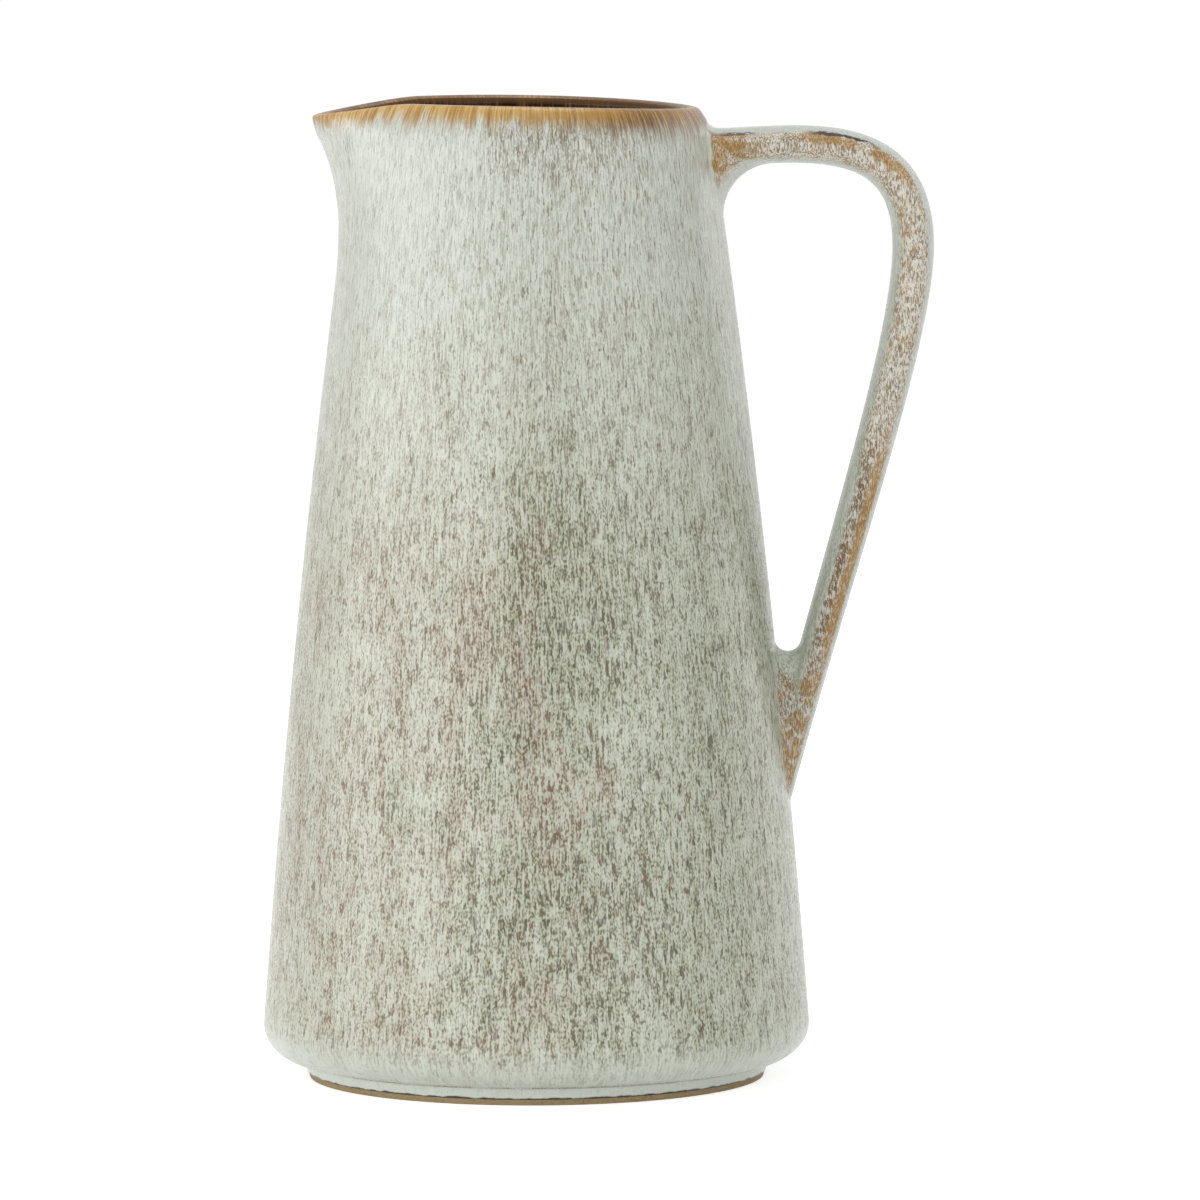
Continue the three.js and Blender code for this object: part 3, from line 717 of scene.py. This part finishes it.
def curdled_glaze(paint):
    """Handle glaze: curdled over the strap's sides into pale hairs among brown, with an amber band and
    brown hairs beside it along the outer corner of the lower run, amber patches elsewhere, dark lines
    where it crept back from the upper corner, and milky on the broad faces and in the fillets."""
    made = Finish("curdled_glaze")
    place = made.place()
    strap = made.attribute("strap", "Vector")
    facing = made.part(strap, "X")
    length_at = made.part(strap, "Z")
    joint = made.attribute("joint", "Fac")

    # Noises, then the curdled part of the strap's sides
    cloud = made.noise(place, 0.009, 2)
    blot = made.noise(place, 0.0026, 2, 0.6)
    grain = made.noise(place, 0.00032, 0)
    hair = made.noise(place, 0.00028, 1, 0.6, 0.3, z_rate=0.2)
    streak = made.noise(place, 0.0011, 2, 0.6, z_rate=0.12)
    low = made.band(length_at, 0.135, 0.17, 0.02)
    lower = made.smooth(length_at, 0.12, 0.14)
    rim = facing + (blot - 0.5) * 0.3
    crotch = made.smooth(joint, 0.1, 0.4) * made.smooth(facing, -0.6, -0.85)
    under = made.smooth(facing, 0.0, -0.4)
    luting = joint - lower * 0.3 - (1 - lower) * under * 0.3
    side = made.smooth(rim, 0.74, 0.56) * made.smooth(rim - lower * 0.3 + joint * 0.7, -0.8, -0.45)
    side = side * made.smooth(luting, 0.6, 0.45) * (1 - crotch)

    # Where it is amber: along the lower run's outer corner, at the neck, on the bend and at the landing
    outer = made.smooth(rim, 0.0, 0.25)
    ragged = cloud * 0.5 + blot * 0.5
    weak = made.smooth(ragged + made.smooth(abs(facing), 0.2, 0.5) * 0.06, 0.44, 0.62)
    neck = made.smooth(length_at, 0.019, 0.011) * made.smooth(ragged, 0.42, 0.54)
    bend = made.band(length_at, 0.031, 0.054, 0.006) * outer * made.smooth(ragged, 0.36, 0.5)
    landing = made.smooth(length_at, 0.18, 0.19) * made.smooth(ragged, 0.42, 0.66) * 0.8
    strong = 1 - (1 - low * outer * 0.85) * (1 - neck) * (1 - bend) * (1 - landing)

    # Hairs and their colours, over the milky coat
    fleck = made.smooth(grain * 0.2 + hair * 0.8 + (blot - 0.5) * 0.3 + lower * 0.02, 0.43, 0.61)
    amber = made.mix(paint.amber, paint.gold, made.smooth(hair, 0.5, 0.3) * 0.4)
    amber = made.mix(amber, paint.amber_dark, made.smooth(blot, 0.35, 0.65) * 0.25 + fleck * 0.12)
    brown = made.mix(paint.speck, paint.amber, 0.2 + weak * 0.45)
    brown = made.mix(brown, paint.ink, lower * (1 - outer) * 0.45)
    curd = made.mix(paint.curd, paint.ground_cool, lower * 0.18)
    shade = made.mix(curd, brown, fleck * 0.85)
    shade = made.mix(shade, amber, strong * made.smooth(fleck, 0.0, 0.5, 0.65, 0.95))
    inner = made.band(rim, -0.25, -0.02, 0.15) * low * made.smooth(cloud, 0.35, 0.5)
    shade = made.mix(shade, paint.amber_dark, inner * made.smooth(fleck, 0.0, 0.6, 0.1, 0.75))
    veil = made.smooth(hair * 0.6 + streak * 0.4, 0.42, 0.6)
    veil = veil * made.smooth(length_at, 0.03, 0.15, 0.2, 0.55)
    milk = made.mix(paint.milky, paint.ground_cool, veil)
    shade = made.mix(milk, shade, side)
    crept = made.band(length_at, 0.009, 0.0145, 0.003) * 0.8 + made.band(length_at, 0.033, 0.043, 0.005)
    creep = made.smooth(abs(rim - 0.64), 0.13, 0.05) * crept * made.smooth(blot, 0.3, 0.45)
    shade = made.mix(shade, paint.ink, creep)
    made.fill(made.shader, {"Specular IOR Level": 0.3})
    relief = made.bump(0 - fleck, 0.00016, 0.6)
    return made.finished(base_color=shade, roughness=0.24 + side * 0.1, normal=relief)


def brown_glaze(paint):
    """Lining: dark brown, with lighter threads that run down from the lip and fade; deep inside they stay
    a little light, as painted light.
    """
    made = Finish("brown_glaze")
    run = made.attribute("run", "Vector")
    depth = made.part(run, "Z")
    thread = made.noise(run, 0.0011, 2, 0.65, z_rate=0.05)
    cloud = made.noise(run, 0.012, 2, z_rate=0.3)
    light = made.smooth(thread + (cloud - 0.5) * 0.5, 0.45, 0.7)
    # Painted light: below the lip the threads fade only to 0.3, which lightens the shade deep inside the
    # jug
    light = light * made.smooth(depth, 0.012, 0.001, 0.3, 0.9)
    shade = made.mix(paint.brown, paint.brown_light, light)
    shade = made.mix(shade, paint.amber_dark, made.smooth(depth, 0.0016, 0.0004) * 0.8)
    made.fill(made.shader, {"Specular IOR Level": 0.15})
    return made.finished(base_color=shade, roughness=0.2, normal=made.bump(thread, 0.0001, 0.3))


def bare_clay(paint):
    """Bare fired clay: fine sandy grain with a few darker grains."""
    made = Finish("bare_clay")
    place = made.place()
    sand = made.noise(place, 0.0007, 3, 0.7)
    cloud = made.noise(place, 0.012, 2)
    shade = made.mix(paint.clay, paint.clay_dark, made.smooth(sand + (cloud - 0.5) * 0.3, 0.5, 0.75))
    relief = made.bump(sand, 0.0002, 0.5)
    return made.finished(base_color=shade, roughness=0.75 + cloud * 0.2, normal=relief)


def base_milk(paint):
    """Glaze under the foot: milky with soft stains."""
    made = Finish("base_milk")
    place = made.place()
    stain = made.noise(place, 0.003, 3, 0.6)
    speck = made.noise(place, 0.0008, 2)
    shade = made.mix(paint.milky, paint.ground_cool, made.smooth(stain, 0.45, 0.75) * 0.5)
    shade = made.mix(shade, paint.speck, made.smooth(speck, 0.6, 0.72) * 0.5)
    return made.finished(base_color=shade, roughness=0.3, normal=made.bump(stain, 0.0001, 0.4))


def settled(piece, material, slot, *nodes):
    """Gives a piece its material and body, and hides the nodes that it stands for; its slot is not used.
    """
    piece.data.materials.append(material)
    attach(piece, BODY)
    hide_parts(*nodes)


class JUG_OT_outer_glaze(bpy.types.Operator):
    """Make the pale coat on the outside"""

    bl_idname = "jug.outer_glaze"
    bl_label = "Outer Glaze"

    def execute(self, context):
        size = context.scene.jug_sizes
        line, _, along, lip = coat_profile(size)
        places = stations(line[along <= lip], length_step=0.0024, turn_step=radians(4))
        places[-1] = lip
        rolled = EDGE_SHARE + (1 - EDGE_SHARE) * np.sqrt(np.clip(places / EDGE_RUN, 0, 1))
        outer, run = coat_grid(size, places, size.coat_gap + size.glaze * rolled, COLUMNS)
        back = np.append(places[:0:-BACK_STRIDE], places[0])
        inner, back_run = coat_grid(size, back, np.full(len(back), size.coat_gap), COLUMNS)
        grid, run = np.vstack([outer, inner]), np.vstack([run, back_run])
        near = np.full(grid.shape[:2], POOL_WIDTH)
        handle_side = (grid[:, :, 0] > 0) & (np.abs(grid[:, :, 1]) < POOL_REACH)
        rings = joint_rings(size)
        near[handle_side] = np.linalg.norm(grid[handle_side][:, None] - rings, axis=-1).min(1)
        pool = np.clip(1 - near / POOL_WIDTH, 0, 1) ** POOL_FADE
        piece = shell("outer_glaze_coat", grid, looped=True, values={"run": run, "pool": pool})
        settled(piece, streaked_glaze(context.scene.jug_colours, size), "pale_glaze", "outer_glaze")
        return {"FINISHED"}


class JUG_OT_liner_glaze(bpy.types.Operator):
    """Make the brown coat on the inside"""

    bl_idname = "jug.liner_glaze"
    bl_label = "Lining"

    def execute(self, context):
        size = context.scene.jug_sizes
        line, _, along, lip = coat_profile(size)
        places = lip + stations(line[along >= lip], length_step=0.004, turn_step=radians(5))
        places[0], places[-1] = lip, along[-1]
        outer, run = coat_grid(size, places, np.full(len(places), size.coat_gap + size.glaze), COLUMNS)
        back = places[::-1]
        inner, back_run = coat_grid(size, back, np.full(len(back), size.coat_gap), COLUMNS)
        grid, run = np.vstack([inner, outer]), np.vstack([back_run, run])
        piece = shell("liner_glaze_coat", grid, looped=False, values={"run": run})
        settled(piece, brown_glaze(context.scene.jug_colours), "brown_glaze", "liner_glaze")
        return {"FINISHED"}


class JUG_OT_handle_glaze(bpy.types.Operator):
    """Make the coat over the handle and its joints"""

    bl_idname = "jug.handle_glaze"
    bl_label = "Handle Glaze"

    def execute(self, context):
        size = context.scene.jug_sizes
        thick = size.cut_gap + size.glaze
        outer, along, near, turn = luted_strap(size, thick, turns=96, steps=22, rows=190)
        inner = luted_strap(size, size.cut_gap, turns=96, steps=10, rows=60)[0]
        grid = shaped(size, np.vstack([outer, inner[::-1]]))
        # How far each point faces outwards, and its length along the strap
        strap = np.stack([np.cos(turn) + 0 * along, 0 * along, along], axis=-1)
        back = np.zeros_like(inner)
        values = {"strap": np.vstack([strap, back]), "joint": np.vstack([near, back[..., 0]])}
        piece = shell("handle_glaze_coat", grid, looped=True, values=values)
        settled(piece, curdled_glaze(context.scene.jug_colours), "pale_glaze", "handle_glaze")
        return {"FINISHED"}


class JUG_OT_clay_body(bpy.types.Operator):
    """Make the turned clay body with its foot ring"""

    bl_idname = "jug.clay_body"
    bl_label = "Clay Body"

    def execute(self, context):
        size = context.scene.jug_sizes
        table = size.foot_radius - size.foot_taper
        ring = table - size.foot_ring
        corners = [(0, size.recess), (ring - size.recess_slope, size.recess), (ring, 0), (table, 0)]
        whole = np.vstack([corners, outside_line(size), inside_line(size)])
        line = softened(whole, PROFILE_STEP, window=3)
        line[0], line[-1] = corners[0], (0, size.recess + size.floor)
        profile = resampled(line, stations(line, length_step=0.004, turn_step=radians(9)))
        profile[:, 1] = np.maximum(profile[:, 1], 0)
        grid = shaped(size, turned(profile, COLUMNS // 2))
        piece = shell("clay_body_fired", grid, looped=False)
        settled(piece, bare_clay(context.scene.jug_colours), "clay", "clay_body")
        return {"FINISHED"}


class JUG_OT_clay_handle(bpy.types.Operator):
    """Make the clay strap with the slip of its joints"""

    bl_idname = "jug.clay_handle"
    bl_label = "Clay Handle"

    def execute(self, context):
        size = context.scene.jug_sizes
        grid = luted_strap(size, 0.0, turns=64, steps=10, rows=90)[0]
        first, last = (np.broadcast_to(row.mean(0), (1, *row.shape)) for row in (grid[0], grid[-1]))
        grid = shaped(size, np.vstack([first, grid, last]))
        piece = shell("clay_handle_fired", grid, looped=False)
        clay = bpy.data.materials.get("bare_clay") or bare_clay(context.scene.jug_colours)
        settled(piece, clay, "clay", "handle", "upper_handle_joint", "lower_handle_joint")
        return {"FINISHED"}


class JUG_OT_base_glaze(bpy.types.Operator):
    """Make the coat in the recess under the foot"""

    bl_idname = "jug.base_glaze"
    bl_label = "Base Glaze"

    def execute(self, context):
        size = context.scene.jug_sizes
        radius = size.foot_radius - size.foot_taper - size.foot_ring - size.recess_slope - size.cut_gap
        top = size.recess - size.coat_gap
        t = np.linspace(0, 1, BASE_EDGE_ROWS)
        edge = ellipse(t, (radius - size.glaze, top), (size.glaze, size.glaze), -pi / 2, 0)
        spokes = np.linspace(0, radius - size.glaze, BASE_ROWS)[:-1]
        under = np.stack([spokes, np.full(len(spokes), top - size.glaze)], axis=-1)
        above = np.stack([spokes[::-1], np.full(len(spokes), top)], axis=-1)
        grid = turned(np.vstack([under, edge, above]), COLUMNS // 2)
        piece = shell("base_glaze_coat", grid, looped=False)
        settled(piece, base_milk(context.scene.jug_colours), "pale_glaze", "base_glaze")
        return {"FINISHED"}


class JUG_OT_stage(bpy.types.Operator):
    """Make the floor, the lights and the camera"""

    bl_idname = "jug.stage"
    bl_label = "Stage"

    def execute(self, context):
        scene = context.scene
        scene.view_settings.view_transform = "Standard"
        self.floor(scene)
        self.sky(scene)
        for light in LIGHTS:
            self.softbox(scene, *light)
        self.camera(scene)
        return {"FINISHED"}

    def floor(self, scene):
        """A wide plain floor, pale to the camera and in reflections, which keeps the jug's shadow."""
        mesh = bpy.data.meshes.new("studio_floor")
        corners = [(x * FLOOR_HALF, y * FLOOR_HALF, 0) for x, y in ((-1, -1), (1, -1), (1, 1), (-1, 1))]
        mesh.from_pydata(corners, [], [(0, 1, 2, 3)])
        floor = bpy.data.objects.new("studio_floor", mesh)
        scene.collection.objects.link(floor)
        made = Finish("studio_floor")
        glow = made.mix((0, 0, 0), (FLOOR_SEEN, FLOOR_SEEN, FLOOR_SEEN), made.shown())
        made.fill(made.shader, {"Specular IOR Level": 0.0})
        mesh.materials.append(made.finished(
            base_color=(FLOOR_LIT, FLOOR_LIT, FLOOR_LIT), roughness=0.9, emission_color=glow,
            emission_strength=1.0))

    def sky(self, scene):
        """Even white surroundings, softer as light than as seen."""
        world = bpy.data.worlds.new("studio")
        world.use_nodes = True
        made = Tree(world.node_tree)
        strength = SKY_LIGHT + (1 - SKY_LIGHT) * made.shown()
        made.fill(made.nodes["Background"], {"Color": (1, 1, 1), "Strength": strength})
        scene.world = world

    def softbox(self, scene, name, place, width, tall, power):
        """A rectangular soft light that faces the middle of the jug."""
        light = bpy.data.lights.new(name, "AREA")
        light.shape = "RECTANGLE"
        light.size = width
        light.size_y = tall
        light.energy = power
        box = bpy.data.objects.new(name, light)
        box.location = place
        box.rotation_euler = (LIGHT_AIM - Vector(place)).to_track_quat("-Z", "Y").to_euler()
        scene.collection.objects.link(box)

    def camera(self, scene):
        """A long lens, a little above the jug, at the photograph's viewing angle."""
        data = bpy.data.cameras.new("camera")
        data.lens = LENS
        data.sensor_width = SENSOR
        data.clip_end = CAMERA_REACH
        camera = bpy.data.objects.new("camera", data)
        camera.location = CAMERA_PLACE
        roll = Quaternion((0, 0, 1), CAMERA_ROLL)
        camera.rotation_euler = ((CAMERA_AIM - CAMERA_PLACE).to_track_quat("-Z", "Y") @ roll).to_euler()
        scene.collection.objects.link(camera)
        scene.camera = camera


MAKERS = (
    JUG_OT_clay_body, JUG_OT_clay_handle, JUG_OT_outer_glaze, JUG_OT_liner_glaze, JUG_OT_handle_glaze,
    JUG_OT_base_glaze, JUG_OT_stage)


class JUG_PT_panel(bpy.types.Panel):
    """Lists the jug's pieces"""

    bl_idname = "JUG_PT_panel"
    bl_label = "Stoneware Jug"
    bl_space_type = "VIEW_3D"
    bl_region_type = "UI"
    bl_category = "Jug"

    def draw(self, context):
        for maker in MAKERS:
            self.layout.operator(maker.bl_idname)


CLASSES = (JugSizes, JugColours, *MAKERS, JUG_PT_panel)


def register():
    """Registers the classes and gives the scene its sizes and colours."""
    for item in CLASSES:
        bpy.utils.register_class(item)
    bpy.types.Scene.jug_sizes = bpy.props.PointerProperty(type=JugSizes)
    bpy.types.Scene.jug_colours = bpy.props.PointerProperty(type=JugColours)


def unregister():
    """Undoes what register does."""
    del bpy.types.Scene.jug_colours
    del bpy.types.Scene.jug_sizes
    for item in reversed(CLASSES):
        bpy.utils.unregister_class(item)


def main():
    """Makes every piece and the stage."""
    register()
    for maker in MAKERS:
        getattr(bpy.ops.jug, maker.bl_idname.split(".")[1])()


if __name__ == "__main__":
    main()
